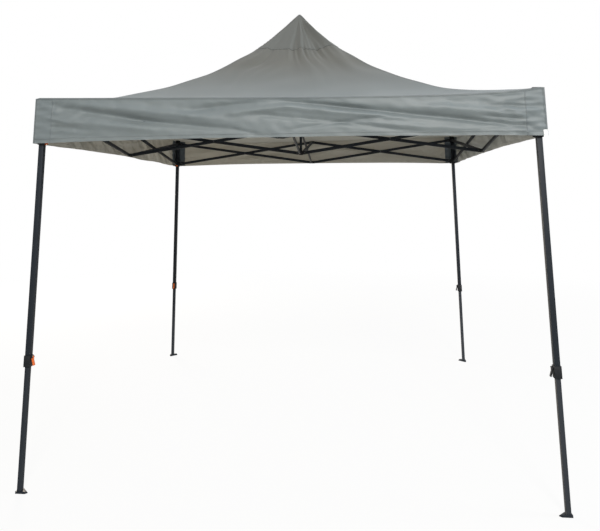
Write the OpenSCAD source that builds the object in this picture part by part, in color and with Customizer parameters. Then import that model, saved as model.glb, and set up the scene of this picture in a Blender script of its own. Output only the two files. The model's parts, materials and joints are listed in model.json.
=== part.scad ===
// Pop-up gazebo: four telescopic legs, a folding scissor truss, a centre pole and a peaked fabric cover.
// Millimetres, +Z up. The origin is on the ground under the centre pole, and the front side faces -Y.
// The frame has four equal sides. Side 0 is the front, and each next side is a quarter turn
// anticlockwise: 1 is the right, 2 the back and 3 the left. Leg k stands at the start of side k.

/* [Frame] */
// Distance from a leg's axis to each edge of the cover beside it
leg_inset = 40; // [39.5:0.5:60]
// Height of the upper row of bar pivots above the ground
upper_pivot_z = 2160; // [2140:5:2300]
// Drop from the upper row of pivots to the lower row, with the frame open
truss_drop = 208; // [150:2:250]

/* [Truss bars] */
// Height of a bar's rectangular section
bar_h = 25; // [22:0.5:26]
// Thickness of a bar's rectangular section
bar_t = 12; // [10:0.5:12]
// Wall of the bar tube
bar_wall = 0.8; // [0.6:0.1:1.4]
// Distance that the tube runs past the pivot at each end
tube_past = 5; // [3:0.5:6]
// Depth of an end plug inside the tube
plug_in = 20; // [15:1:40]
// Gap between two crossing bars, filled by a washer
bar_gap = 2; // [1.6:0.1:3]

/* [Rivets] */
// Diameter of every rivet's shank
rivet_d = 6; // [5:0.5:7]
// Diameter of a rivet head
head_d = 10; // [9:0.5:12]
// Height of a rivet head
head_h = 2; // [1.5:0.5:2.5]

/* [Moulded joints] */
// Thickness of one lug of a fork
lug_t = 4; // [3:0.5:4.5]
// Space left on each side of a bar in its fork
lug_gap = 1; // [0.6:0.1:1.2]
// Distance from a leg's axis to the pivots of its bars
leg_pivot = 42; // [41:0.5:50]
// Distance from the middle of a side to the pivots of its bars
mid_pivot = 24; // [22:0.5:26]
// Distance from the pole's axis to the pivots of the inner bars
hub_pivot = 32; // [32:0.5:33]
// Radius of the round core of both hubs
hub_core_r = 17; // [16:0.5:17]

/* [Centre pole] */
// Diameter of the pole
pole_d = 22; // [18:0.5:24]
// Wall of the pole
pole_wall = 1.2; // [0.8:0.1:2]
// Radial clearance of the pole in the hubs
pole_clear = 0.8; // [0.4:0.1:1]
// Radius of the mushroom cap
cap_r = 22; // [18:1:30]
// Height of the cap's dome
cap_h = 22; // [18:1:30]
// Length of the cap's socket below the dome
cap_socket = 25; // [15:1:40]

/* [Legs] */
// Outside width of the upper leg tube
upper_w = 30; // [29:0.5:31]
// Outside width of the lower leg tube
lower_w = 25; // [22:0.5:26]
// Wall of both leg tubes
leg_wall = 1.2; // [0.8:0.1:1.4]
// Outside width of the top bracket and the collar
socket_w = 38; // [37:0.5:39]
// Height of the top bracket above the upper pivots
bracket_up = 45; // [30:1:60]
// Depth of the top bracket below the upper pivots
bracket_down = 22; // [16:1:40]
// Height of the collar's underside above the ground
collar_z = 655; // [560:5:660]
// Height of the collar
collar_h = 62; // [50:1:62]
// Thickness of the collar's floor, on which the upper tube sits
collar_floor = 14; // [8:1:20]
// Length of lower tube left inside the upper tube when the leg is fully out
leg_overlap = 50; // [40:5:250]
// Thickness of the head of the guide on top of the lower tube
guide_h = 6; // [4:0.5:12]
// Length of each of the two square sides of the three-cornered foot
foot_w = 66; // [58:1:80]
// How far the foot stands out past the outer faces of the leg
foot_out = 6; // [4:0.5:8]
// Length cut off each sharp toe of the foot
foot_cut = 12; // [8:1:16]
// Thickness of the foot at its toes and under the leg
foot_t = 4; // [3:0.5:6]
// Height of the foot around the leg
foot_h = 12; // [10:1:16]
// Slope of the top of the foot down to its toes, in degrees
foot_slope = 28; // [20:1:35]

/* [Sliders] */
// Outside width of a slider
slider_w = 40; // [38:0.5:44]
// Height of a slider above its pivots
slider_up = 20; // [14:1:30]
// Depth of a slider below its pivots
slider_down = 30; // [29:0.5:31]
// Side clearance of a slider on the leg
slider_clear = 0.5; // [0.3:0.1:0.8]

/* [Locks] */
// Width of the slider lock's grip
lock_w = 16; // [10:1:24]
// Height of the slider lock's grip
lock_h = 13; // [10:0.5:14]
// Distance that the grip stands out of the slider
lock_out = 12; // [8:0.5:20]
// Diameter of the slider lock's stem
lock_stem_d = 8; // [5:0.5:9]
// Distance that the lock's stem stays off the leg tube
lock_stem_back = 2.5; // [1:0.5:3.5]
// Width of the leg lever
lever_w = 15; // [10:0.5:20]
// Length of the leg lever below its pivot
lever_len = 46; // [36:1:48]
// Distance from the collar's face to the lever's pivot
lever_pivot_out = 6; // [5.5:0.5:7]
// Distance from the collar's top to the lever's pivot
lever_pivot_down = 10; // [8:0.5:12]
// Diameter of the lever's pivot pin
lever_pin_d = 3; // [2:0.5:4]

/* [Cover] */
// Width of the cover at its eaves
cover_w = 3000; // [2500:10:3400]
// Thickness of the cloth solids
cloth_t = 1.5; // [1:0.1:3]
// Height of the roof's peak above the eaves, before the peak is flattened over the cap
roof_rise = 937; // [700:10:1000]
// How fast the roof falls away from the peak along the middle of a side
roof_power_mid = 2.2; // [1.6:0.05:2.4]
// How fast the roof falls away from the peak along the hip to a corner
roof_power_hip = 1.9; // [1.6:0.05:2.4]
// Depth of the valance that hangs from the eaves
valance_h = 278; // [180:5:300]
// Half width of the patch that reinforces the peak
patch_w = 330; // [150:10:450]

/* [Clearances] */
// Radial clearance of a rivet or pin in its hole
pin_clear = 0.1; // [0.05:0.05:0.2]
// Side clearance of a tube in its socket, or of a plug in its tube
socket_clear = 0.2; // [0.1:0.05:0.4]
// Gap between parts that move past each other
face_gap = 0.3; // [0.2:0.05:0.5]
// Gap between separate pieces of one assembly that seat on each other
seat_gap = 0.1; // [0.05:0.05:0.2]

/* [Hidden] */
$fn = 32;
SIDES = ["front", "right", "back", "left"];
LEGS = ["front_left", "front_right", "back_right", "back_left"];

// The quarter turn of each leg's lock and lever: 0 is the face along the leg's own side
LOCK_TURN = [0, 1, 0, 0];
// Colours of the locks on each leg
LOCK_COLOUR = ["darkorange", "dimgray", "dimgray", "darkorange"];
STEEL = [0.16, 0.17, 0.19];
PLASTIC = [0.08, 0.08, 0.09];
CLOTH = [0.49, 0.51, 0.51];

half = cover_w / 2 - leg_inset;
lower_pivot_z = upper_pivot_z - truss_drop;
// All bars span the same distance, so the inner fork's reach follows from the other three
span = half - leg_pivot - mid_pivot;
inner_pivot = leg_pivot + mid_pivot - hub_pivot;
bar_len = sqrt(span * span + truss_drop * truss_drop);
bar_angle = atan(truss_drop / span);
plane = (bar_t + bar_gap) / 2;
bar_r = bar_h / 2;
// Furthest that a bar's end reaches from its pivot
bar_reach = max(bar_r, sqrt(tube_past * tube_past + bar_r * bar_r));
hole_r = rivet_d / 2 + pin_clear;
fork_in = bar_t / 2 + lug_gap;
fork_out = fork_in + lug_t;
lug_r = bar_r + 0.5;

collar_top = collar_z + collar_h;
tube_top = upper_pivot_z + bracket_up - lug_t;
socket_bore = upper_w + 2 * socket_clear;
lower_top = collar_z + collar_floor + leg_overlap;
upper_bore = upper_w - 2 * leg_wall;
slider_bore = upper_w + 2 * slider_clear;
lock_z = lower_pivot_z - slider_down + lock_h / 2 + 0.5;

eave_under = upper_pivot_z + bracket_up + face_gap;
eave_top = eave_under + cloth_t;
// Share of the half width over which the roof lies flat on the cap, which is half as wide as the cap
flat_share = (cap_r / 2) / (cover_w / 2);
patch_share = patch_w / (cover_w / 2);
// The rings of the roof's grid, as shares of the half width. The patch's edge is one of them.
PATCH_RINGS = 3;
ROOF_RINGS = 15;
// Half width of the hole that is left where the four gores meet under the patch
GORE_TIP = 1;
RING_SHARES = concat(
    [GORE_TIP / (cover_w / 2)],
    [for (i = [1 : PATCH_RINGS - 1])
        flat_share + (patch_share - flat_share) * (i - 1) / (PATCH_RINGS - 1)],
    [for (i = [PATCH_RINGS : ROOF_RINGS])
        patch_share + (1 - patch_share) * (i - PATCH_RINGS) / (ROOF_RINGS - PATCH_RINGS)]
);
// Grid steps along each side of a ring
ROOF_STEPS = 6;
// Height of the roof above the eaves. The share inside the cap's edge is flat.
function roof_z(share, t) =
    let (out = max(share, flat_share))
    roof_rise * pow(1 - out, roof_power_mid + (roof_power_hip - roof_power_mid)
    * t * t * (out - flat_share) / (1 - flat_share));
cap_top = eave_under + roof_z(flat_share, 0) - face_gap;
pole_bottom = lower_pivot_z - lug_r + face_gap;
dome_z = cap_top - cap_h;
pole_top = dome_z - seat_gap;

// Puts a part of side k or leg k in its place, from its place at the front
module turned(k) rotate([0, 0, 90 * k]) children();

module square_tube(w, wall, z0, z1) {
    translate([0, 0, z0]) linear_extrude(z1 - z0) difference() {
        square(w, center = true);
        square(w - 2 * wall, center = true);
    }
}

// A rivet along Y through pieces of the given total thickness
module rivet(grip) {
    shank = grip + 2 * seat_gap;
    color("silver") rotate([90, 0, 0]) {
        cylinder(d = rivet_d, h = shank + head_h, center = true);
        for (s = [-1, 1]) translate([0, 0, s * (shank + head_h) / 2])
            cylinder(d = head_d, h = head_h, center = true);
    }
}

module pivot_hole(x) {
    translate([x, 0, 0]) rotate([90, 0, 0]) cylinder(r = hole_r, h = 2 * bar_t, center = true);
}

module bar_tube() {
    color(STEEL) difference() {
        translate([-tube_past, -bar_t / 2, -bar_r]) cube([bar_len + 2 * tube_past, bar_t, bar_h]);
        translate([-tube_past - 1, bar_wall - bar_t / 2, bar_wall - bar_r])
            cube([bar_len + 2 * tube_past + 2, bar_t - 2 * bar_wall, bar_h - 2 * bar_wall]);
        for (x = [0, bar_len / 2, bar_len]) pivot_hole(x);
    }
}

// The moulded plug in a bar's end: a round nose outside the tube and a shank inside it
module end_plug() {
    inset = bar_wall + socket_clear;
    color(PLASTIC) difference() {
        union() {
            intersection() {
                rotate([90, 0, 0]) cylinder(r = bar_r, h = bar_t, center = true);
                translate([-bar_h - tube_past - seat_gap, -bar_t, -bar_h])
                    cube([bar_h, 2 * bar_t, 2 * bar_h]);
            }
            translate([-tube_past - 1, inset - bar_t / 2, inset - bar_r])
                cube([plug_in + 1, bar_t - 2 * inset, bar_h - 2 * inset]);
        }
        pivot_hole(0);
    }
}

// A bar along +X from its pivot at the origin to its pivot at bar_len
module bar() {
    bar_tube();
    end_plug();
    translate([bar_len, 0, 0]) mirror([1, 0, 0]) end_plug();
}

// The bar of a crossing pair that holds the middle rivet and the washer
module rivet_bar() {
    bar();
    translate([bar_len / 2, -plane, 0]) rivet(2 * (bar_t + face_gap) + bar_gap);
    color(PLASTIC) translate([bar_len / 2, -bar_t / 2 - seat_gap, 0]) rotate([90, 0, 0]) difference() {
        cylinder(d = 2 * head_d, h = bar_gap - seat_gap - face_gap);
        translate([0, 0, -1]) cylinder(r = hole_r, h = bar_gap + 2);
    }
}

// Two lugs in planes across Y that hold a bar on a rivet at x = reach
module fork(start, reach) {
    difference() {
        for (s = [-1, 1]) translate([0, s * (fork_in + lug_t / 2), 0]) {
            translate([(start + reach) / 2, 0, 0])
                cube([reach - start, lug_t, 2 * lug_r], center = true);
            translate([reach, 0, 0]) rotate([90, 0, 0]) cylinder(r = lug_r, h = lug_t, center = true);
        }
        translate([reach, 0, 0]) rotate([90, 0, 0]) cylinder(r = hole_r, h = 4 * fork_out, center = true);
    }
}

// A hub on the centre axis with four forks; offset is the side on which the bars lie
module hub(offset, floor_t) {
    color(PLASTIC) difference() {
        union() {
            translate([0, 0, -lug_r - floor_t]) cylinder(r = hub_core_r, h = 2 * lug_r + floor_t);
            for (k = [0 : 3]) turned(k) translate([offset, 0, 0]) rotate([0, 0, -90]) fork(0, hub_pivot);
        }
        translate([0, 0, -lug_r - (floor_t > 0 ? 0 : 1)])
            cylinder(r = pole_d / 2 + pole_clear, h = 2 * lug_r + 2);
    }
    for (k = [0 : 3]) turned(k) translate([offset, -hub_pivot, 0]) rotate([0, 0, -90]) rivet(2 * fork_out);
}

// The joint at the middle of a side: forks for two side bars and one inner bar.
// Its own place is the middle of side 0's plane, with the side along X.
module mid_joint(offset) {
    web = mid_pivot - bar_reach - lug_gap;
    color(PLASTIC) {
        difference() {
            union() {
                for (s = [0, 1]) mirror([s, 0, 0]) translate([0, offset, 0]) fork(0, mid_pivot);
                translate([0, offset, 0]) cube([2 * web, 2 * fork_out, 2 * lug_r], center = true);
                translate([offset, 0, 0]) rotate([0, 0, 90]) fork(offset + fork_in, inner_pivot);
                translate([offset - fork_out, offset + fork_in, -lug_r])
                    cube([2 * fork_out, inner_pivot - bar_reach - lug_gap - offset - fork_in, 2 * lug_r]);
            }
            for (s = [-1, 1]) translate([s * mid_pivot, offset, 0]) rotate([90, 0, 0])
                cylinder(r = bar_reach + lug_gap, h = 2 * fork_in, center = true);
        }
    }
    for (s = [-1, 1]) translate([s * mid_pivot, offset, 0]) rivet(2 * fork_out);
    translate([offset, inner_pivot, 0]) rotate([0, 0, 90]) rivet(2 * fork_out);
}

// The two forks of a leg's bracket or slider, one along +X and one along +Y
module leg_forks(offset, start) {
    translate([0, offset, 0]) fork(start, leg_pivot);
    translate([offset, 0, 0]) rotate([0, 0, 90]) mirror([0, 1, 0]) fork(start, leg_pivot);
}

module leg_rivets(offset) {
    translate([leg_pivot, offset, 0]) rivet(2 * fork_out);
    translate([offset, leg_pivot, 0]) rotate([0, 0, 90]) rivet(2 * fork_out);
}

module top_bracket() {
    color(PLASTIC) translate([0, 0, upper_pivot_z]) {
        difference() {
            union() {
                translate([-socket_w / 2, -socket_w / 2, -bracket_down])
                    cube([socket_w, socket_w, bracket_down + bracket_up]);
                leg_forks(plane, 0);
            }
            translate([-socket_bore / 2, -socket_bore / 2, -bracket_down - 1])
                cube([socket_bore, socket_bore, bracket_down + 1 + bracket_up - lug_t]);
        }
    }
    translate([0, 0, upper_pivot_z]) leg_rivets(plane);
}

// The collar at the foot of the upper tube: it guides the lower tube and carries the lever's ears
module collar(turn) {
    lower_bore = lower_w + 2 * slider_clear;
    color(PLASTIC) difference() {
        union() {
            translate([-socket_w / 2, -socket_w / 2, collar_z]) cube([socket_w, socket_w, collar_h]);
            lock_side(turn) for (s = [-1, 1]) translate([socket_w / 2, s * (lever_w / 2 + 2), collar_top]) {
                translate([-1, -1.5, -lever_pivot_down - 5]) cube([lever_pivot_out + 1, 3, 10]);
                translate([lever_pivot_out, 0, -lever_pivot_down]) rotate([90, 0, 0])
                    cylinder(r = 5, h = 3, center = true);
            }
        }
        translate([-socket_bore / 2, -socket_bore / 2, collar_z + collar_floor])
            cube([socket_bore, socket_bore, collar_h]);
        translate([-lower_bore / 2, -lower_bore / 2, collar_z - 1])
            cube([lower_bore, lower_bore, collar_h]);
        lock_side(turn) lever_pin_place()
            cylinder(r = lever_pin_d / 2 + pin_clear, h = 3 * lever_w, center = true);
    }
    color("silver") lock_side(turn) lever_pin_place() cylinder(d = lever_pin_d, h = lever_w + 7, center = true);
}

// Turns a part from the face along +X to the face that carries the leg's lock
module lock_side(turn) rotate([0, 0, 90 * turn]) children();

module lever_pin_place() {
    translate([socket_w / 2 + lever_pivot_out, 0, collar_top - lever_pivot_down]) rotate([90, 0, 0]) children();
}

module upper_leg(turn) {
    color(STEEL) square_tube(upper_w, leg_wall, collar_z + collar_floor + seat_gap, tube_top - seat_gap);
    top_bracket();
    collar(turn);
}

// A moulded shoe with its square corner outwards, a pocket for the leg and a top that slopes inwards
module foot() {
    back = -lower_w / 2 - foot_out;
    toe = back + foot_w;
    inner_edge = (toe + back + foot_cut) / sqrt(2);
    pocket = lower_w + 2 * socket_clear;
    color(PLASTIC) difference() {
        linear_extrude(foot_h) polygon([
            [back, back], [toe - foot_cut, back], [toe, back + foot_cut],
            [back + foot_cut, toe], [back, toe - foot_cut]
        ]);
        rotate([0, 0, 45]) translate([inner_edge, 0, foot_t]) rotate([0, foot_slope, 0])
            translate([-2 * foot_w, -foot_w, 0]) cube([3 * foot_w, 2 * foot_w, foot_w]);
        translate([-pocket / 2, -pocket / 2, foot_t]) cube([pocket, pocket, foot_h]);
    }
}

// The guide in the top of the lower tube keeps it central in the upper tube
module guide() {
    head = upper_bore - 2 * socket_clear;
    shank = lower_w - 2 * leg_wall - 2 * socket_clear;
    color(PLASTIC) {
        translate([-head / 2, -head / 2, lower_top + seat_gap]) cube([head, head, guide_h]);
        translate([-shank / 2, -shank / 2, lower_top - plug_in]) cube([shank, shank, plug_in + 1]);
    }
}

module lower_leg() {
    color(STEEL) square_tube(lower_w, leg_wall, foot_t, lower_top);
    foot();
    guide();
}

module slider(turn) {
    color(PLASTIC) difference() {
        translate([0, 0, lower_pivot_z]) union() {
            translate([-slider_w / 2, -slider_w / 2, -slider_down])
                cube([slider_w, slider_w, slider_down + slider_up]);
            leg_forks(-plane, 0);
        }
        translate([-slider_bore / 2, -slider_bore / 2, lower_pivot_z - slider_down - 1])
            cube([slider_bore, slider_bore, slider_down + slider_up + 2]);
        lock_side(turn) translate([upper_w / 2, 0, lock_z]) rotate([0, 90, 0])
            cylinder(r = lock_stem_d / 2 + pin_clear, h = slider_w);
    }
    translate([0, 0, lower_pivot_z]) leg_rivets(-plane);
}

// The spring-loaded lock button of a slider: a grip outside, and a stem through the slider's wall
module slider_lock(k) {
    color(LOCK_COLOUR[k]) lock_side(LOCK_TURN[k]) translate([0, 0, lock_z]) {
        translate([slider_w / 2 + face_gap, -lock_w / 2, -lock_h / 2]) cube([lock_out, lock_w, lock_h]);
        translate([upper_w / 2 + lock_stem_back, 0, 0]) rotate([0, 90, 0])
            cylinder(d = lock_stem_d, h = (slider_w - upper_w) / 2 + face_gap + 1 - lock_stem_back);
    }
}

// The flip lever of a telescopic leg: an eye on the pin and a blade that flares out below it
module leg_lever(k) {
    color(LOCK_COLOUR[k]) lock_side(LOCK_TURN[k]) lever_pin_place() difference() {
        union() {
            cylinder(r = 4.5, h = lever_w, center = true);
            linear_extrude(lever_w, center = true) polygon([
                [-4, 0], [4.5, 0], [5, -lever_len / 3], [14, 2 - lever_len], [11, -lever_len],
                [7, -lever_len], [0, -lever_len / 2], [-4, -8]
            ]);
        }
        cylinder(r = lever_pin_d / 2 + pin_clear, h = lever_w + 2, center = true);
    }
}

module peak_pole() {
    color(STEEL) translate([0, 0, pole_bottom]) difference() {
        cylinder(d = pole_d, h = pole_top - pole_bottom);
        translate([0, 0, -1]) cylinder(d = pole_d - 2 * pole_wall, h = pole_top - pole_bottom + 2);
    }
}

module peak_cap() {
    color(PLASTIC) translate([0, 0, dome_z]) rotate_extrude() difference() {
        union() {
            intersection() {
                scale([cap_r / cap_h, 1]) circle(r = cap_h, $fn = 64);
                square([cap_r, cap_h]);
            }
            translate([0, -cap_socket]) square([pole_d / 2 + 4, cap_socket + 1]);
        }
        translate([0, -cap_socket - 1]) square([pole_d / 2 + pin_clear, cap_socket + 1]);
    }
}

// A closed sheet of cloth that follows one side of the roof, from the peak out to the given ring
module gore(rings, lift) {
    n = ROOF_STEPS + 1;
    function point(share, t, up) =
        let (out = share * cover_w / 2)
        [t * (out - seat_gap), -out, eave_under + roof_z(share, t) + up];
    function at(layer, i, j) = (layer * (rings + 1) + i) * n + j;
    function halves(q) = [[q[0], q[1], q[2]], [q[0], q[2], q[3]]];
    quads = concat(
        [for (i = [0 : rings - 1], j = [0 : n - 2])
            [at(0, i, j), at(0, i, j + 1), at(0, i + 1, j + 1), at(0, i + 1, j)]],
        [for (i = [0 : rings - 1], j = [0 : n - 2])
            [at(1, i, j), at(1, i + 1, j), at(1, i + 1, j + 1), at(1, i, j + 1)]],
        [for (j = [0 : n - 2]) [at(0, 0, j + 1), at(0, 0, j), at(1, 0, j), at(1, 0, j + 1)]],
        [for (j = [0 : n - 2]) [at(0, rings, j), at(0, rings, j + 1), at(1, rings, j + 1), at(1, rings, j)]],
        [for (i = [0 : rings - 1]) [at(0, i, 0), at(0, i + 1, 0), at(1, i + 1, 0), at(1, i, 0)]],
        [for (i = [0 : rings - 1]) [at(0, i + 1, n - 1), at(0, i, n - 1), at(1, i, n - 1), at(1, i + 1, n - 1)]]
    );
    color(CLOTH) polyhedron(
        points = [for (up = [lift + cloth_t, lift], i = [0 : rings], j = [0 : ROOF_STEPS])
            point(RING_SHARES[i], 2 * j / ROOF_STEPS - 1, up)],
        faces = [for (q = quads, half_quad = halves(q)) half_quad]
    );
}

// The roof is four gores that meet at the hips
module canopy_roof() {
    for (k = [0 : 3]) turned(k) gore(ROOF_RINGS, 0);
}

// The patch over the peak has four gores like the roof's
module peak_patch() {
    for (k = [0 : 3]) turned(k) gore(PATCH_RINGS, cloth_t + face_gap);
}

// The valance is a band on each side, which stops short of the next side's band at its end
module canopy_valance() {
    color(CLOTH) for (k = [0 : 3]) turned(k) translate([-cover_w / 2, -cover_w / 2, eave_under - valance_h])
        cube([cover_w - cloth_t - seat_gap, cloth_t, valance_h]);
}

// The bars of side 0. End "a" is at the side's start and "b" at its end, which is a mirror image.
module side_end(e) mirror([e, 0, 0]) children();

module side_bar_down(e) {
    side_end(e) translate([leg_pivot - half, plane - half, upper_pivot_z])
        rotate([0, bar_angle, 0]) rivet_bar();
}

module side_bar_up(e) {
    side_end(e) translate([leg_pivot - half, -plane - half, lower_pivot_z])
        rotate([0, -bar_angle, 0]) bar();
}

module inner_bar_down() {
    translate([plane, -hub_pivot, upper_pivot_z]) rotate([0, 0, -90]) rotate([0, bar_angle, 0]) rivet_bar();
}

module inner_bar_up() {
    translate([-plane, -hub_pivot, lower_pivot_z]) rotate([0, 0, -90]) rotate([0, -bar_angle, 0]) bar();
}

module at_leg(k) turned(k) translate([-half, -half, 0]) children();

translate([0, 0, upper_pivot_z]) hub(plane, 0);  // upper_hub
translate([0, 0, lower_pivot_z]) hub(-plane, lug_t);  // lower_hub
peak_pole();
peak_cap();
peak_patch();
canopy_roof();
canopy_valance();
for (k = [0 : 3]) {
    turned(k) inner_bar_down();
    turned(k) inner_bar_up();
    turned(k) translate([0, -half, upper_pivot_z]) mid_joint(-plane);
    turned(k) translate([0, -half, lower_pivot_z]) mid_joint(plane);
    for (e = [0, 1]) {
        turned(k) side_bar_down(e);
        turned(k) side_bar_up(e);
    }
    at_leg(k) upper_leg(LOCK_TURN[k]);
    at_leg(k) lower_leg();
    at_leg(k) slider(LOCK_TURN[k]);
    at_leg(k) slider_lock(k);
    at_leg(k) leg_lever(k);
}
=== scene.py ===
# %% [markdown]
# # A folding gazebo
# A folding gazebo is a steel scissor frame under a sewn polyester cover. The frame comes from CAD and
# fixes every size, place and joint. This script gives each frame part its finish, sews the cover around
# the frame as thin sheets of cloth, and lets the cloth travel with the parts when the frame folds.

# %% Load the frame
import json
import math

import bpy
import numpy as np
from mathutils import Matrix, Vector

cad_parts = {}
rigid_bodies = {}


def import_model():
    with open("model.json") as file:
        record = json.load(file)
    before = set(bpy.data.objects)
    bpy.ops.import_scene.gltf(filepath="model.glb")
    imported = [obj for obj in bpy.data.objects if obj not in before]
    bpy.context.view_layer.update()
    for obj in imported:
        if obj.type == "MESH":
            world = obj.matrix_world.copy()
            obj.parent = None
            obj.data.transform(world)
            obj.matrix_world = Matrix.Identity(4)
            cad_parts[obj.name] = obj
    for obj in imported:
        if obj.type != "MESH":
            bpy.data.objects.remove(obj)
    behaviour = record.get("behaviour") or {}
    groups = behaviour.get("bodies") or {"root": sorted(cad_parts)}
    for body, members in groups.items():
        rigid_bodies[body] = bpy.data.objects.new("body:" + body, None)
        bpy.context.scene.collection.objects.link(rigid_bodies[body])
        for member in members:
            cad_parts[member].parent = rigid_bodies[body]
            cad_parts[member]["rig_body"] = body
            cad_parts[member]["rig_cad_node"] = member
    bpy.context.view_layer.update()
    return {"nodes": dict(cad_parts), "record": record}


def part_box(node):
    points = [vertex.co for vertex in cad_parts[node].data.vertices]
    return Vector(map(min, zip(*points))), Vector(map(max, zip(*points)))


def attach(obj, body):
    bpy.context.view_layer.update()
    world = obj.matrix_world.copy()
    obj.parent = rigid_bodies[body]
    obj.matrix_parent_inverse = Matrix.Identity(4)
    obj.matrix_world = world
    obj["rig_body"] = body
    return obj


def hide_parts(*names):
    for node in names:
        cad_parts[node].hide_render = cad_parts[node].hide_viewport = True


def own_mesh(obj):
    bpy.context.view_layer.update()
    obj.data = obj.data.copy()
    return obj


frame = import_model()

# %% [markdown]
# ## The camera
# A tall object under a low camera looks right only from the right spot, so the camera goes in first.
# It stands below the eaves, a little to the right of the middle, and looks slightly up and to the left,
# so that the undersides of the cover and the crossed bars show. The lens shift keeps the legs upright.

# %% Camera
CAMERA_PLACE = (0.404, -4.975, 1.611)
CAMERA_TURN = math.radians(5.67)
CAMERA_PITCH = math.radians(9.98)
CAMERA_ROLL = math.radians(-0.38)

camera_data = bpy.data.cameras.new("camera")
camera_data.sensor_width = 36.0
camera_data.lens = 36.27
camera_data.shift_x = 0.0173
camera_data.shift_y = -0.2947
camera = bpy.data.objects.new("camera", camera_data)
bpy.context.scene.collection.objects.link(camera)
camera.matrix_world = (
    Matrix.Translation(CAMERA_PLACE)
    @ Matrix.Rotation(CAMERA_TURN, 4, "Z")
    @ Matrix.Rotation(math.pi / 2 + CAMERA_PITCH, 4, "X")
    @ Matrix.Rotation(CAMERA_ROLL, 4, "Z")
)
bpy.context.scene.camera = camera

# %% [markdown]
# ## Materials
# A material starts from what the real one is and how its surface was made. Two helpers keep the node
# code short: one turns a colour as a painter reads it (sRGB hex) into the linear values that the
# renderer works with, and one adds a node with its settings and links.

# %% Helpers for materials
MM = 0.001


def linear(hex_colour):
    """The linear RGBA of an sRGB colour such as "8a8c8b"."""
    parts = [int(hex_colour[i:i + 2], 16) / 255 for i in (0, 2, 4)]
    return tuple(p / 12.92 if p <= 0.04045 else ((p + 0.055) / 1.055) ** 2.4 for p in parts) + (1.0,)


def add(tree, kind, settings=None, links=None):
    """Adds a node. settings sets its inputs or properties, and links feeds its inputs."""
    node = tree.nodes.new("ShaderNode" + kind)
    for name, value in (settings or {}).items():
        if isinstance(name, int) or name in node.inputs:
            node.inputs[name].default_value = value
        else:
            setattr(node, name, value)
    for name, source in (links or {}).items():
        tree.links.new(source, node.inputs[name])
    return node


def new_material(name):
    """A material with only its output and one Principled shader."""
    material = bpy.data.materials.new(name)
    material.use_nodes = True
    tree = material.node_tree
    return material, tree, tree.nodes["Principled BSDF"], tree.nodes["Material Output"]


def pattern_scale(size_mm):
    """The scale of a noise texture whose blobs are about this size."""
    return 1 / (size_mm * MM)


# %% [markdown]
# ### Powder-coated steel tube
# The tubes are sprayed with dry paint powder and baked. The film is a dark blue-grey with a satin shine
# and a faint orange peel, which bump from a fine noise gives. Handling rubs the paint, so a coarse noise
# varies the colour and the roughness a little.

# %% Powder-coated steel
def hard_finish(name, colour, worn_colour, roughness, grain_mm, grain_depth_mm):
    """A dark solid finish with fine surface grain and slow changes of colour and shine."""
    material, tree, shader, _ = new_material(name)
    place = add(tree, "TexCoord").outputs["Object"]
    patches = add(tree, "TexNoise", {"Scale": pattern_scale(180), "Detail": 3.0}, {"Vector": place})
    colours = add(tree, "Mix", {"data_type": "RGBA", 6: linear(colour), 7: linear(worn_colour)},
                  {"Factor": patches.outputs["Fac"]})
    shine = add(tree, "MapRange", {"To Min": roughness - 0.06, "To Max": roughness + 0.06},
                {"Value": patches.outputs["Fac"]})
    grain = add(tree, "TexNoise", {"Scale": pattern_scale(grain_mm), "Detail": 1.0}, {"Vector": place})
    bump = add(tree, "Bump", {"Strength": 0.5, "Distance": grain_depth_mm * MM},
               {"Height": grain.outputs["Fac"]})
    shader.inputs["Specular IOR Level"].default_value = 0.25
    tree.links.new(colours.outputs[2], shader.inputs["Base Color"])
    tree.links.new(shine.outputs["Result"], shader.inputs["Roughness"])
    tree.links.new(bump.outputs["Normal"], shader.inputs["Normal"])
    return material


powder_coat = hard_finish("powder_coated_steel", "0e1319", "161d25", 0.55, 1.6, 0.15)
print("Made", powder_coat.name)

# %% [markdown]
# ### Moulded nylon and plated steel
# The joints, sliders and collars are glass-filled nylon, moulded in a fine-textured steel mould, which
# leaves a matt, slightly grainy black. The levers and buttons of two legs are orange, so that a hand
# finds them. Rivets are zinc-plated steel, dulled dark by handling.

# %% Nylon and rivets
black_nylon = hard_finish("moulded_black_nylon", "0b0d10", "111418", 0.58, 0.9, 0.08)
orange_nylon = hard_finish("moulded_orange_nylon", "dd6f36", "c9602c", 0.45, 0.9, 0.06)
rivet_steel = hard_finish("zinc_plated_steel", "4a4d50", "5a5d60", 0.38, 0.7, 0.02)
rivet_steel.node_tree.nodes["Principled BSDF"].inputs["Metallic"].default_value = 0.9

# %% [markdown]
# ### Polyester cloth
# The cover is a plain-woven polyester, coated on the inside so that rain stays out. The eye sees a
# matt greenish grey, a faint weave, thread lines along the seams, and daylight glowing softly through.
# The cloth's UV map holds two lengths in metres: how far a point lies along the nearest seam, and how
# far it lies from it. The stitches and the doubled cloth beside a seam come from those, and the strip of
# doubled cloth is coloured darker towards the thread colour, as painted shade.

# %% Polyester
THREAD_PITCH_MM = 1.6  # the real threads are 0.4 mm apart, too fine to show
STITCH_MM = 5.0
STITCH_ROW_MM = 9.0
STITCH_WIDTH_MM = 1.3
LAP_MM = 14.0
SHADE_FROM, SHADE_TO = 2.2, 2.6  # heights in metres over which the roof is painted darker towards the peak, as painted shade


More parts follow.
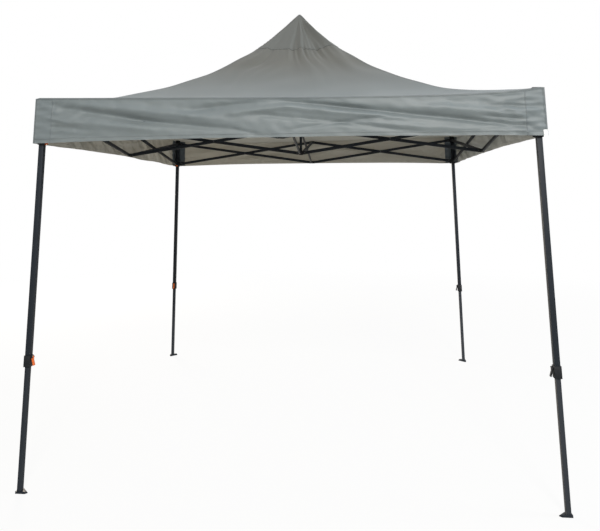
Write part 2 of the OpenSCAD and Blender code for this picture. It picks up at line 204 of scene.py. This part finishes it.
def polyester(name, colour, shade_colour, thread_and_seam_shade_colour, glow, glow_colour, shaded_top_colour=None):
    """Woven cloth with seams. glow is the share of light that passes through, in glow_colour."""
    material, tree, shader, output = new_material(name)
    place = add(tree, "TexCoord").outputs["Object"]
    seam = add(tree, "SeparateXYZ", links={0: add(tree, "UVMap", {"uv_map": "seam"}).outputs["UV"]})
    run, away = seam.outputs["X"], seam.outputs["Y"]

    patches = add(tree, "TexNoise", {"Scale": pattern_scale(260), "Detail": 4.0}, {"Vector": place})
    cloth = add(tree, "Mix", {"data_type": "RGBA", 6: linear(colour), 7: linear(shade_colour)},
                {"Factor": patches.outputs["Fac"]})
    # The roof is painted darker towards the peak: painted shade.
    if shaded_top_colour:
        height = add(tree, "SeparateXYZ", links={0: place}).outputs["Z"]
        shade_by_height = add(tree, "MapRange", {"From Min": SHADE_FROM, "From Max": SHADE_TO}, {"Value": height})
        cloth = add(tree, "Mix", {"data_type": "RGBA", 7: linear(shaded_top_colour)},
                    {"Factor": shade_by_height.outputs["Result"], 6: cloth.outputs[2]})

    off_row = add(tree, "Math", {"operation": "SUBTRACT", 1: STITCH_ROW_MM * MM}, {0: away})
    off_row = add(tree, "Math", {"operation": "ABSOLUTE"}, {0: off_row.outputs[0]})
    in_row = add(tree, "Math", {"operation": "LESS_THAN", 1: STITCH_WIDTH_MM / 2 * MM},
                 {0: off_row.outputs[0]})
    turn = add(tree, "Math", {"operation": "MULTIPLY", 1: 1 / (STITCH_MM * MM)}, {0: run})
    turn = add(tree, "Math", {"operation": "FRACT"}, {0: turn.outputs[0]})
    on_stitch = add(tree, "Math", {"operation": "LESS_THAN", 1: 0.72}, {0: turn.outputs[0]})
    stitch = add(tree, "Math", {"operation": "MULTIPLY"},
                 {0: in_row.outputs[0], 1: on_stitch.outputs[0]})
    lap = add(tree, "MapRange", {"From Min": (LAP_MM - 2) * MM, "From Max": LAP_MM * MM,
                                 "To Min": 1.0, "To Max": 0.0}, {"Value": away})
    # The strip beside each seam is mixed towards the thread colour: painted shade of the doubled cloth.
    seam_shade = add(tree, "Math", {"operation": "MULTIPLY", 1: 0.45}, {0: lap.outputs["Result"]})
    cloth = add(tree, "Mix", {"data_type": "RGBA", 7: linear(thread_and_seam_shade_colour)},
                {"Factor": seam_shade.outputs[0], 6: cloth.outputs[2]})
    sewn = add(tree, "Mix", {"data_type": "RGBA", 7: linear(thread_and_seam_shade_colour)},
               {"Factor": stitch.outputs[0], 6: cloth.outputs[2]})

    threads = add(tree, "TexNoise", {"Scale": pattern_scale(THREAD_PITCH_MM), "Detail": 2.0},
                  {"Vector": place})
    weave_bump = add(tree, "Bump", {"Strength": 0.35, "Distance": 0.25 * MM},
                     {"Height": threads.outputs["Fac"]})
    lap_bump = add(tree, "Bump", {"Strength": 0.8, "Distance": 1.2 * MM},
                   {"Height": lap.outputs["Result"], "Normal": weave_bump.outputs["Normal"]})
    stitch_bump = add(tree, "Bump", {"Strength": 0.6, "Distance": 0.8 * MM},
                      {"Height": stitch.outputs[0], "Normal": lap_bump.outputs["Normal"]})

    shader.inputs["Roughness"].default_value = 0.52
    shader.inputs["Sheen Weight"].default_value = 0.15
    tree.links.new(sewn.outputs[2], shader.inputs["Base Color"])
    tree.links.new(stitch_bump.outputs["Normal"], shader.inputs["Normal"])
    through = add(tree, "BsdfTranslucent", {"Color": linear(glow_colour)},
                  {"Normal": stitch_bump.outputs["Normal"]})
    mixed = add(tree, "MixShader", {0: glow}, {1: shader.outputs[0], 2: through.outputs[0]})
    tree.links.new(mixed.outputs[0], output.inputs["Surface"])
    return material


# The cover's last colour is painted shade, which darkens the roof towards the peak.
cover_outside = polyester("woven_polyester", "70797c", "687174", "545b5e", 0.22, "ccccc6", "555652")
# The doubled cloth at the peak is the cover's polyester coloured darker, which is painted shade.
shaded_peak_outside = polyester("doubled_peak_polyester_painted_shade", "555753", "4d4f4b", "3d3f3c", 0.08, "a8a49c")
cover_inside = polyester("coated_side_of_polyester", "aeaca6", "a3a19b", "8b8983", 0.48, "dcd9d0")
corner_cloth = polyester("heavy_corner_polyester", "5d666d", "555e66", "4a5259", 0.20, "8a949c")
label_cloth = polyester("white_label_ribbon", "e4e6e6", "dcdede", "d0d2d2", 0.05, "ffffff")

# %% [markdown]
# ## Finishing the frame parts
# The CAD solids have knife edges, and real tube and moulded parts don't: rolled tube has round corners,
# and a mould leaves a small radius. So each frame part is copied, its loose triangles are merged into
# clean faces, and its long sharp edges get a bevel. Each separate solid in a part then gets the material
# that it is made of: the longest are tubes, the thinnest are rivets and pins, and the rest is moulded.

# %% Find the separate solids of a mesh
def solids_of(mesh):
    """A solid's number for each vertex, and each solid's size along X, Y and Z."""
    leader = list(range(len(mesh.vertices)))

    def top(v):
        while leader[v] != v:
            leader[v] = leader[leader[v]]
            v = leader[v]
        return v

    for edge in mesh.edges:
        a, b = (top(v) for v in edge.vertices)
        leader[a] = b
    tops = np.array([top(v) for v in range(len(leader))])
    places = np.array([v.co for v in mesh.vertices])
    sizes = {t: np.ptp(places[tops == t], axis=0) for t in np.unique(tops)}
    return tops, sizes


# %% Copy, clean and round a frame part
TUBE_RADIUS = 2.0 * MM
MOULD_RADIUS = 0.8 * MM
RIVET_HEAD = 11 * MM
LONG_TUBE = 0.5
FINISHES = [powder_coat, black_nylon, rivet_steel, orange_nylon]
STEEL, NYLON, RIVET, ORANGE = range(4)


def deselect_all():
    for obj in bpy.context.selected_objects:
        obj.select_set(False)


def make_active(obj):
    deselect_all()
    obj.select_set(True)
    bpy.context.view_layer.objects.active = obj


def cleaned_copy(node, name):
    """A copy of a CAD node with its triangles merged into flat faces."""
    part = frame["nodes"][node].copy()
    part.data = part.data.copy()
    part.name = part.data.name = name
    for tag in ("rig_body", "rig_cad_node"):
        del part[tag]
    part.parent = None
    bpy.context.scene.collection.objects.link(part)
    make_active(part)
    bpy.ops.object.mode_set(mode="EDIT")
    bpy.ops.mesh.select_all(action="SELECT")
    bpy.ops.mesh.remove_doubles(threshold=1e-6)
    bpy.ops.mesh.customdata_custom_splitnormals_clear()
    bpy.ops.mesh.dissolve_limited(angle_limit=math.radians(1))
    bpy.ops.object.mode_set(mode="OBJECT")
    return part


def round_edges(part, width, least_length):
    """Bevels the sharp edges that are at least this long, and shades the part smooth."""
    mesh = part.data
    weights = mesh.attributes.new("bevel_weight_edge", "FLOAT", "EDGE")
    normals = {}
    for face in mesh.polygons:
        for key in face.edge_keys:
            normals.setdefault(key, []).append(face.normal)
    for edge in mesh.edges:
        beside = normals.get(edge.key, [])
        sharp = len(beside) == 2 and beside[0].dot(beside[1]) < 0.7
        a, b = (mesh.vertices[v].co for v in edge.vertices)
        weights.data[edge.index].value = 1.0 if sharp and (a - b).length > least_length else 0.0
    bevel = part.modifiers.new("rounding", "BEVEL")
    bevel.width = width
    bevel.segments = 2
    bevel.limit_method = "WEIGHT"
    make_active(part)
    bpy.ops.object.modifier_apply(modifier=bevel.name)
    bpy.ops.object.shade_smooth_by_angle(angle=math.radians(35))


def dress(part, moulded=NYLON):
    """Gives each solid of a part the finish that its shape tells."""
    mesh = part.data
    mesh.materials.clear()
    for finish in FINISHES:
        mesh.materials.append(finish)
    tops, sizes = solids_of(mesh)
    for face in mesh.polygons:
        size = np.sort(sizes[tops[face.vertices[0]]])
        if size[2] > LONG_TUBE:
            face.material_index = STEEL
        elif size[1] < RIVET_HEAD and size[2] < 45 * MM and size[0] < size[1] + 1 * MM:
            face.material_index = RIVET
        else:
            face.material_index = moulded


# %% Finish every frame part
SOFT_NODES = [n for n in frame["nodes"] if n.startswith(("canopy_", "peak_patch"))]
body_of_node = {n: body for body, nodes in frame["record"]["behaviour"]["bodies"].items() for n in nodes}
slot_of_node = {s["node"]: s["material_slot"] for s in frame["record"]["subparts"]}


def finish_part(node):
    part = cleaned_copy(node, node + "_finished")
    round_edges(part, MOULD_RADIUS, 2 * MM)
    dress(part, ORANGE if slot_of_node[node] == "lock_plastic_orange" else NYLON)
    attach(part, body_of_node[node])
    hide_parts(node)


for node in sorted(frame["nodes"]):
    if node not in SOFT_NODES:
        finish_part(node)
print("Finished", len(frame["nodes"]) - len(SOFT_NODES), "frame parts")

# %% [markdown]
# ## The shape of the roof
# Four cloth gores hang between the peak and the eaves. Cloth that is pulled from a peak to a square edge
# takes a hollow, witch's-hat shape: steep near the pole and almost flat at the eaves. One formula gives
# that height everywhere, so neighbouring panels meet exactly at their seams. Pull in the cloth shows as
# soft wrinkles, and these are small changes of the same height.

# %% Roof height
roof_low, roof_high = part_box("canopy_roof")
valance_low, valance_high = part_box("canopy_valance")
cap_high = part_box("peak_cap")[1]
HALF = -roof_low.y
EAVE = valance_high.z
DROP = valance_high.z - valance_low.z
CLOTH = 1.2 * MM
CROWN = cap_high.x / 2 / HALF
MID_POWER = 2.2
HIP_POWER = 1.9
CLEARANCE = 1.5 * MM  # between the smooth roof and the top of the CAD roof
RISE = (roof_high.z - CLEARANCE - EAVE) / (1 - CROWN) ** MID_POWER
CAP_SOFTNESS = 160  # how tightly the cloth bends over the pole's cap
CORNER_DROP = 6 * MM  # how much the corners of the eaves are rounded off
SAG = 36 * MM  # the most that an eave hangs down between its corners
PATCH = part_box("peak_patch")[1].x / HALF
print(f"Cover: {2 * HALF:.3f} m wide, eaves at {EAVE:.3f} m, peak at {roof_high.z:.3f} m")


def smooth_step(x, low, high):
    t = np.clip((x - low) / (high - low), 0, 1)
    return t * t * (3 - 2 * t)


def ripples(x, y, size, seed, count=7):
    """A smooth random field from -1 to 1 whose waves are about this long."""
    rng = np.random.default_rng(seed)
    total = np.zeros_like(x)
    for _ in range(count):
        heading, phase = rng.uniform(0, 2 * math.pi, 2)
        length = size * rng.uniform(0.7, 1.5)
        total += np.sin((x * math.cos(heading) + y * math.sin(heading)) * 2 * math.pi / length + phase)
    return total / math.sqrt(count)


def eave_sag(t):
    """How far an eave hangs below its corners. t is -1 at the side's start and 1 at its end."""
    hang = (1 - abs(t) ** np.where(t < 0, 1.5, 7.0)) * (0.82 + 0.18 * np.sin(2.4 * t))
    return SAG * hang + CORNER_DROP * smooth_step(abs(t), 0.982, 1)


def roof_wrinkles(x, y, share, along):
    """Height of the wrinkles over the smooth roof: none at the eaves and on the cap."""
    # The pull of the pole draws long creases down from the peak, and they are deeper on the patch.
    turn = np.arctan2(y, x) + 0.05 * ripples(x, y, 0.5, 3)
    reach = smooth_step(share, 0.02, 0.09) * (1 - smooth_step(share, PATCH, 0.6))
    pull = np.zeros_like(x)
    for waves, height, phase in ((14, 9.5, 0.4), (23, 6.5, 1.9), (38, 3.5, 2.6)):
        pull += height * MM * np.cos(waves * turn + phase)
    pull *= reach * (0.6 + 0.4 * ripples(x, y, 0.35, 11))
    pull *= 1 + 0.7 * smooth_step(along, -0.1, 0.4) * (1 - smooth_step(share, PATCH, 1.6 * PATCH))

    # The patch's stitching gathers the cloth on both sides of it.
    puckers = 5.5 * MM * np.cos(45 * turn + 1.0) + 3.6 * MM * np.cos(73 * turn)
    off = (share - PATCH) * HALF
    puckers *= np.exp(-((off / np.where(off < 0, 0.09, 0.10)) ** 2))
    puckers *= 0.2 + 0.8 * smooth_step(along, -0.2, 0.3)
    puckers *= 1 - smooth_step(abs(along), 0.7, 1.0)

    # The rest of the cloth lies a little slack.
    slack = 5.0 * MM * ripples(x, y, 0.9, 5) + 2.0 * MM * ripples(x, y, 0.28, 6)
    slack *= smooth_step(share, 0.1, 0.3) * (1 - smooth_step(share, 0.88, 1.0))
    return pull + puckers + slack


def roof_height(x, y):
    """The height of the cloth above the ground, on arrays."""
    wide, narrow = np.maximum(abs(x), abs(y)), np.minimum(abs(x), abs(y))
    share = wide / HALF
    slant = narrow / np.maximum(wide, 1e-9)
    along = np.where(abs(x) > abs(y), y * np.sign(x), -x * np.sign(y)) / np.maximum(wide, 1e-9)
    power = MID_POWER + (HIP_POWER - MID_POWER) * slant ** 2 * np.clip((share - CROWN) / (1 - CROWN), 0, 1)
    cone = (1 - share) ** power
    crown = (1 - CROWN) ** MID_POWER + 0.006 - 0.004 * np.minimum(share / CROWN, 2) ** 2
    rounded = cone - np.logaddexp(0, (cone - crown) * CAP_SOFTNESS) / CAP_SOFTNESS
    sag = eave_sag(along) * smooth_step(share, 0.45, 1.0)
    return EAVE + RISE * rounded - sag + roof_wrinkles(x, y, share, along)


# %% [markdown]
# ## Cloth from a grid
# A sheet is a grid of points, so one helper turns any grid into cloth: it works out the normals from the
# grid, adds the inner layer one thickness behind it, and closes the rim. The normals are kept with the
# mesh. Where a panel is cut in two so that each half can fold, both halves keep the normals of the whole
# panel, and the cut doesn't show.

# %% Cloth helper
def grid_normals(points):
    """Unit normals of a grid of points."""
    across = np.gradient(points, axis=1)
    along = np.gradient(points, axis=0)
    normals = np.cross(along, across)
    return normals / np.maximum(np.linalg.norm(normals, axis=2, keepdims=True), 1e-12)


def cloth_sheet(name, points, normals, seam_uv, outside, inside, thickness=CLOTH):
    """A thin closed sheet on a grid of points. seam_uv is (along, away) for each point."""
    rows, columns = points.shape[:2]
    count = rows * columns
    flat = points.reshape(-1, 3)
    flat_normals = normals.reshape(-1, 3)
    vertices = np.concatenate([flat, flat - flat_normals * thickness])

    # Four-sided faces of the outer layer, the inner layer and the rim that joins them
    index = np.arange(count).reshape(rows, columns)
    a, b = index[:-1, :-1].ravel(), index[:-1, 1:].ravel()
    c, d = index[1:, 1:].ravel(), index[1:, :-1].ravel()
    front = np.stack([a, d, c, b], 1)
    back = np.stack([b, c, d, a], 1) + count
    ring = np.concatenate([index[:-1, 0], index[-1, :-1], index[:0:-1, -1], index[0, :0:-1]])
    after = np.roll(ring, -1)
    rim = np.stack([after, ring, ring + count, after + count], 1)
    faces = np.concatenate([front, back, rim])

    mesh = bpy.data.meshes.new(name)
    mesh.from_pydata(vertices.tolist(), [], faces.tolist())
    mesh.materials.append(outside)
    mesh.materials.append(inside)
    sides = np.zeros(len(faces), np.int32)
    sides[len(front):len(front) + len(back)] = 1
    mesh.polygons.foreach_set("material_index", sides)
    uv = mesh.uv_layers.new(name="seam")
    corner_points = faces.ravel()
    uv.data.foreach_set("uv", seam_uv.reshape(-1, 2)[corner_points % count].ravel())

    # Each corner of a face keeps the grid's normal, and the rim has its own
    mesh.shade_smooth()
    both = np.concatenate([flat_normals, -flat_normals])
    corners = both[corner_points]
    rim_start = 4 * (len(front) + len(back))
    edge_of_rim = vertices[rim[:, 0]] - vertices[rim[:, 1]]
    rim_normals = np.cross(edge_of_rim, flat_normals[ring])
    rim_normals /= np.maximum(np.linalg.norm(rim_normals, axis=1, keepdims=True), 1e-12)
    corners[rim_start:] = np.repeat(rim_normals, 4, axis=0)
    mesh.normals_split_custom_set(corners.tolist())
    sheet = bpy.data.objects.new(name, mesh)
    bpy.context.scene.collection.objects.link(sheet)
    return sheet


def turned(points, side):
    """Points of the front side, turned to another side by quarter turns."""
    cos, sin = (1, 0, -1, 0)[side], (0, 1, 0, -1)[side]
    x, y, z = points[..., 0], points[..., 1], points[..., 2]
    return np.stack([x * cos - y * sin, x * sin + y * cos, z], axis=-1)


# %% [markdown]
# ## Roof panels
# Each gore runs from the patch at the peak to the eaves, and the hips are its sewn edges. When the frame
# folds, real cloth gathers between the legs. Here each gore is cut at the middle of its side, and each
# half travels with the side bar under its eave.

# %% Roof panels
SIDES = ["front", "right", "back", "left"]
ENDS = ["a", "b"]
LEGS = ["front_left", "front_right", "back_right", "back_left"]
LEG_OF = [{"a": LEGS[side], "b": LEGS[(side + 1) % 4]} for side in range(4)]
PANEL_ROWS = 110
PANEL_COLUMNS = 101  # over half a side
LEAST_SHARE = PATCH - 0.01  # the panels reach a little way under the patch


def gore(side, shares, columns):
    """Grid of points on one side's gore: rows go down to the eaves, columns from start to end."""
    slants = np.linspace(-1, 1, columns)
    share, slant = np.meshgrid(shares, slants, indexing="ij")
    x, y = slant * share * HALF, -share * HALF
    flat = turned(np.stack([x, y, np.zeros_like(x)], -1), side)
    height = roof_height(flat[..., 0], flat[..., 1])
    return np.stack([flat[..., 0], flat[..., 1], height], -1), share, slant


def gore_seams(share, slant):
    """Length along the nearest seam and distance from it: hips, eaves and the patch's edge."""
    x, y = slant * share * HALF, share * HALF
    hip = (share - abs(slant) * share) * HALF * 0.82
    eave = (1 - share) * HALF
    patch = (share - LEAST_SHARE) * HALF * 1.4
    away = np.minimum(np.minimum(hip, eave), patch)
    run = np.where(away == hip, y * 1.6, x)
    return np.stack([run, away], -1)


def roof_panels(side):
    shares = LEAST_SHARE + (1 - LEAST_SHARE) * np.linspace(0, 1, PANEL_ROWS) ** 0.9
    points, share, slant = gore(side, shares, 2 * PANEL_COLUMNS - 1)
    normals = grid_normals(points)
    seams = gore_seams(share, slant)
    middle = PANEL_COLUMNS - 1
    for end, part in zip(ENDS, (slice(0, middle + 1), slice(middle, None))):
        panel = cloth_sheet(f"roof_{SIDES[side]}_{end}", points[:, part], normals[:, part],
                            seams[:, part], cover_outside, cover_inside)
        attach(panel, f"side_bar_down_{SIDES[side]}_{end}")
        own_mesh(panel)
        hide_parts("canopy_roof")


for side in range(4):
    roof_panels(side)
print("Sewed two half panels on each of", len(SIDES), "sides")

# %% [markdown]
# ## The peak
# A second layer of cloth is sewn over the peak, where the pole's cap rubs. It is one square patch that
# takes the shape of the roof under it, and it sinks with the pole when the frame folds.

# %% Peak patch
PEAK_STEPS = 97
SECOND_LAYER = 2.2 * MM  # from one layer of cloth to the one sewn on it


def peak_patch():
    line = np.linspace(-1, 1, PEAK_STEPS)
    across, along = np.meshgrid(line, -line, indexing="xy")
    x, y = across * PATCH * HALF, along * PATCH * HALF
    height = roof_height(x, y) + SECOND_LAYER
    points = np.stack([x, y, height], -1)
    share = np.maximum(abs(across), abs(along))
    away = (1 - share) * PATCH * HALF * 1.4
    run = np.where(abs(across) > abs(along), y, x)
    hip = abs(abs(across) - abs(along)) * PATCH * HALF * 0.75
    run = np.where(hip < away, share * PATCH * HALF * 1.7, run)
    away = np.minimum(away, hip)
    patch = cloth_sheet("peak_patch_cloth", points, grid_normals(points), np.stack([run, away], -1),
                        shaded_peak_outside, cover_inside)
    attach(patch, "centre_pole")
    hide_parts("peak_patch")


peak_patch()

# %% [markdown]
# ## The valance
# A straight band of cloth hangs from each eave. Its top is held by the seam and its bottom by nothing, so
# the pull of the corners runs through it in long slanting folds. Each fold is a smooth ridge or hollow
# along a short line. The list gives, in metres from the corner and down from the eave, where a fold
# starts and ends, how wide it is, and how far it stands out (or in, if negative) in millimetres.

# %% Valance folds
FRONT_FOLDS = [
    # the long groove that falls from the left corner to the hem, with the ridges on both sides of it
    (0.05, 0.045, 0.80, 0.165, 0.022, -17),
    (0.45, 0.125, 1.32, 0.235, 0.020, -17),
    (1.20, 0.215, 1.42, 0.268, 0.012, -12),
    (0.20, 0.03, 1.30, 0.165, 0.028, 13),
    (0.10, 0.13, 0.95, 0.245, 0.028, 14),
    # the short groove that climbs to the eave in the middle
    (0.92, 0.095, 1.46, 0.010, 0.020, -12),
    (1.10, 0.125, 1.62, 0.055, 0.022, 12),
    # the deepest groove, from the eave in the middle to the right corner
    (1.40, 0.004, 2.05, 0.095, 0.017, -17),
    (1.75, 0.060, 2.60, 0.175, 0.020, -18),
    (2.40, 0.145, 2.99, 0.245, 0.017, -17),
    (1.45, 0.060, 2.30, 0.165, 0.024, 13),
    (2.20, 0.060, 2.95, 0.160, 0.030, 12),
    # two lesser grooves below it that cross
    (1.30, 0.110, 1.95, 0.190, 0.016, -9),
    (1.80, 0.175, 2.38, 0.268, 0.016, -10),
    (1.50, 0.235, 2.20, 0.130, 0.013, -8),
    (1.95, 0.190, 2.70, 0.250, 0.025, 13),
    # the fan of short creases at the right corner
    (2.62, 0.143, 2.99, 0.196, 0.010, -10),
    (2.72, 0.080, 2.99, 0.112, 0.010, -10),
    (2.80, 0.215, 2.99, 0.222, 0.008, -7),
    (2.76, 0.110, 2.99, 0.150, 0.012, 8),
    # small creases at the left corner
    (0.02, 0.170, 0.35, 0.205, 0.011, -7),
    (0.02, 0.110, 0.25, 0.165, 0.010, 7),
    (0.04, 0.225, 0.45, 0.250, 0.010, -7),
]
BAND_ROWS = 34
BAND_COLUMNS = 181  # over half a side
HEM = 24 * MM
RANDOM_FOLDS = 9


def random_folds(seed):
    """Folds like those of the front, for the other sides."""
    rng = np.random.default_rng(seed)
    folds = []
    for _ in range(RANDOM_FOLDS):
        start = rng.uniform(0.05, 2.2)
        length = rng.uniform(0.5, 1.5)
        top, bottom = rng.uniform(0.01, 0.1), rng.uniform(0.15, 0.25)
        if rng.uniform() < 0.5:
            top, bottom = bottom, top
        folds.append((start, top, min(start + length, 2.95), bottom, rng.uniform(0.02, 0.04),
                      rng.choice([-1, 1]) * rng.uniform(5, 12)))
    return folds


def fold_relief(along, down, folds):
    """How far the cloth stands out, in metres, from its list of folds."""
    relief = np.zeros_like(along)
    for a, top, b, bottom, width, height in folds:
        length2 = (b - a) ** 2 + (bottom - top) ** 2
        t = ((along - a) * (b - a) + (down - top) * (bottom - top)) / length2
        off = np.hypot(along - a - t * (b - a), down - top - t * (bottom - top))
        ends = smooth_step(t, -0.06, 0.30) * (1 - smooth_step(t, 0.70, 1.06))
        relief += height * MM * np.exp(-((off / width) ** 2)) * ends
    return relief


# %% Valance
PATCH_REACH = 0.11  # how far the corner patches inside reach from a corner
HEM_RISE = 16 * MM  # how far the pull of the corners lifts the hem in the middle


def valance_points(side, along, down):
    """Points of the outer face: along runs from the side's start, and down runs from the eave."""
    folds = FRONT_FOLDS if side == 0 else random_folds(20 + side)
    middle = 1 - (along / HALF - 1) ** 2
    sag = eave_sag(along / HALF - 1)
    corner = np.minimum(along, 2 * HALF - along)
    hold = smooth_step(corner, 0.02, 0.15)  # the corners hold the cloth flat
    relief = fold_relief(along, down, folds)
    relief += 4 * MM * ripples(along, down * 2, 0.8, 40 + side) * down / DROP
    relief += 1.5 * MM * ripples(along, down, 0.16, 50 + side)
    if side in (1, 3):
        slanting = np.tanh(1.6 * ripples(along + 1.3 * down, down * 0.25, 0.27, 70 + side))
        relief += 15 * MM * slanting * smooth_step(down, 0, 0.12)
    relief *= hold * smooth_step(down, 0, 0.06) * (1 - 0.65 * smooth_step(down, 0.17, DROP))
    crinkles = 2.8 * MM * ripples(along * 0.6, down, 0.05, 80 + side)
    crinkles *= 1 - smooth_step(along, 0.08, 0.5)
    crinkles += 3.2 * MM * ripples(along * 0.4, down, 0.045, 90 + side) * smooth_step(along, 2.55, 2.9)
    crinkles += 0.8 * MM * ripples(along, down, 0.07, 95 + side)
    relief += crinkles * smooth_step(down, 0, 0.03) * smooth_step(along, 0, 0.02)
    relief *= 1 - smooth_step(along, 2 * HALF - 0.012, 2 * HALF)
    hem = HEM_RISE * middle + 2.5 * MM * ripples(along, along * 0, 0.9, 60 + side) * hold
    height = EAVE - sag - down / DROP * (DROP - sag - hem)
    return turned(np.stack([along - HALF, -HALF - relief, height], -1), side)


def valance(side):
    down = np.linspace(0, DROP, BAND_ROWS)
    along = np.linspace(0, 2 * HALF, 2 * BAND_COLUMNS - 1)
    down, along = np.meshgrid(down, along, indexing="ij")
    points = valance_points(side, along, down)
    normals = grid_normals(points)
    hem_away = abs(DROP - HEM - down) + STITCH_ROW_MM * MM
    corner = np.minimum(along, 2 * HALF - along)
    patch_away = abs(corner - PATCH_REACH) + STITCH_ROW_MM * MM
    upright = np.minimum(corner, patch_away)
    away = np.minimum(np.minimum(down, hem_away), upright)
    seams = np.stack([np.where(away == upright, down, along), away], -1)
    middle = BAND_COLUMNS - 1
    for end, part in zip(ENDS, (slice(0, middle + 1), slice(middle, None))):
        band = cloth_sheet(f"valance_{SIDES[side]}_{end}", points[:, part], normals[:, part],
                           seams[:, part], cover_outside, cover_inside)
        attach(band, "upper_leg_" + LEG_OF[side][end])
        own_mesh(band)
        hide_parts("canopy_valance")


for side in range(4):
    valance(side)

# %% [markdown]
# ## Corner patches and label
# Inside each corner a darker, heavier cloth backs the valance where the leg rubs. It is a strip that
# runs round the corner just inside the valance, so it is made from the valance's own points, moved
# inwards. A blank white ribbon is sewn to the hem at the front right corner.

# %% Corner patches
def corner_patch(leg):
    """A patch round the corner where side leg - 1 ends and side leg starts."""
    inside = SECOND_LAYER
    rows = np.linspace(3 * MM, DROP - 4 * MM, 24)
    down, share = np.meshgrid(rows, np.linspace(0, 1, 23), indexing="ij")
    before = valance_points((leg - 1) % 4, 2 * HALF - PATCH_REACH + share * (PATCH_REACH - inside), down)
    after = valance_points(leg, inside + share * (PATCH_REACH - inside), down)
    inward = turned(np.array([0, inside, 0]), leg)
    inward_before = turned(np.array([0, inside, 0]), (leg - 1) % 4)
    points = np.concatenate([before + inward_before, (after + inward)[:, 1:]], axis=1)
    away = np.concatenate([share, 1 - share[:, 1:]], axis=1) * PATCH_REACH
    run = np.concatenate([down, down[:, 1:]], axis=1)
    patch = cloth_sheet("corner_patch_" + LEGS[leg], points, grid_normals(points),
                        np.stack([run, away], -1), corner_cloth, corner_cloth)
    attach(patch, "upper_leg_" + LEGS[leg])


for leg in range(4):
    corner_patch(leg)


# %% Label
def label():
    """A ribbon over the hem, just before the front side's end."""
    width, drop = 22 * MM, 46 * MM
    from_end, above_hem = 24 * MM, 34 * MM
    stand_off, bulge = 1.2 * MM, 1.5 * MM
    across, along = np.meshgrid(np.linspace(0, 1, 7), np.linspace(0, 1, 12))
    place = 2 * HALF - from_end + across * width
    points = valance_points(0, place, DROP - above_hem + along * drop)
    points[..., 1] -= stand_off + bulge * along * np.sin(across * math.pi)
    label_uv = np.stack([across * width, along * 0 + 0.03], -1)
    ribbon = cloth_sheet("label_ribbon", points, grid_normals(points), label_uv,
                         label_cloth, label_cloth, 0.4 * MM)
    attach(ribbon, "upper_leg_front_right")


label()

# %% [markdown]
# ## Light and floor
# Plain soft light from above and in front shows the cloth's folds without hard shadows. A cooler lamp at
# the right picks out the creases of the peak, and a warmer one behind shines through the far side of the
# cover. The background is white because the world and the floor say so to the camera. The world also
# shows that white to glossy and transmission rays, brighter than the light it sheds: this is painted
# reflection on shiny surfaces and painted glow through the cloth.

# %% Studio
def studio_world(strength, background):
    world = bpy.data.worlds.new("studio")
    world.use_nodes = True
    tree = world.node_tree
    light = tree.nodes["Background"]
    light.inputs["Color"].default_value = linear("f4f7fa")
    light.inputs["Strength"].default_value = strength
    white = add(tree, "Background", {"Color": linear("ffffff"), "Strength": background})
    rays = add(tree, "LightPath")
    # Glossy and transmission rays see the white too: painted reflection and painted glow through the
    # cloth.
    seen = add(tree, "Math", {"operation": "MAXIMUM"},
               {0: rays.outputs["Is Camera Ray"], 1: rays.outputs["Is Glossy Ray"]})
    seen = add(tree, "Math", {"operation": "MAXIMUM"},
               {0: seen.outputs[0], 1: rays.outputs["Is Transmission Ray"]})
    mixed = add(tree, "MixShader", links={0: seen.outputs[0], 1: light.outputs[0], 2: white.outputs[0]})
    tree.links.new(mixed.outputs[0], tree.nodes["World Output"].inputs["Surface"])
    bpy.context.scene.world = world


def studio_floor():
    bpy.ops.mesh.primitive_plane_add(size=60)
    floor = bpy.context.object
    floor.name = "floor"
    material, tree, shader, output = new_material("pale_floor")
    shader.inputs["Base Color"].default_value = linear("c4c4c0")
    shader.inputs["Roughness"].default_value = 0.9
    white = add(tree, "Emission", {"Color": linear("ffffff"), "Strength": 1.0})
    rays = add(tree, "LightPath")
    spot = add(tree, "VectorMath", {"operation": "LENGTH"}, {0: add(tree, "TexCoord").outputs["Object"]})
    far = add(tree, "MapRange", {"From Min": 2.5, "From Max": 9.0, "To Min": 0.92, "To Max": 1.0},
              {"Value": spot.outputs["Value"]})
    share = add(tree, "Math", {"operation": "MULTIPLY"},
                {0: rays.outputs["Is Camera Ray"], 1: far.outputs["Result"]})
    mixed = add(tree, "MixShader", links={0: share.outputs[0], 1: shader.outputs[0], 2: white.outputs[0]})
    tree.links.new(mixed.outputs[0], output.inputs["Surface"])
    floor.data.materials.append(material)


def lamp(name, place, target, size, power, colour):
    data = bpy.data.lights.new(name, "AREA")
    data.color = linear(colour)[:3]
    data.size = size
    data.energy = power
    light = bpy.data.objects.new(name, data)
    bpy.context.scene.collection.objects.link(light)
    light.location = place
    light.rotation_euler = (Vector(target) - Vector(place)).to_track_quat("-Z", "Y").to_euler()


deselect_all()
studio_world(0.33, 1.0)
studio_floor()
lamp("key", (2.4, -12.6, 7.6), (0, -0.5, 2.2), 2.2, 1800, "fffcf8")
lamp("side", (7.5, -1.5, 5.6), (0.3, -0.3, 2.5), 2.0, 520, "e6f1ff")
lamp("back", (-5.5, 7.0, 3.0), (-0.5, 1.0, 2.0), 2.5, 820, "fff0dc")

# %% [markdown]
# ## The last line
# The standard view transform shows colours as they are written.

# %% Finish
bpy.context.scene.view_settings.view_transform = "Standard"
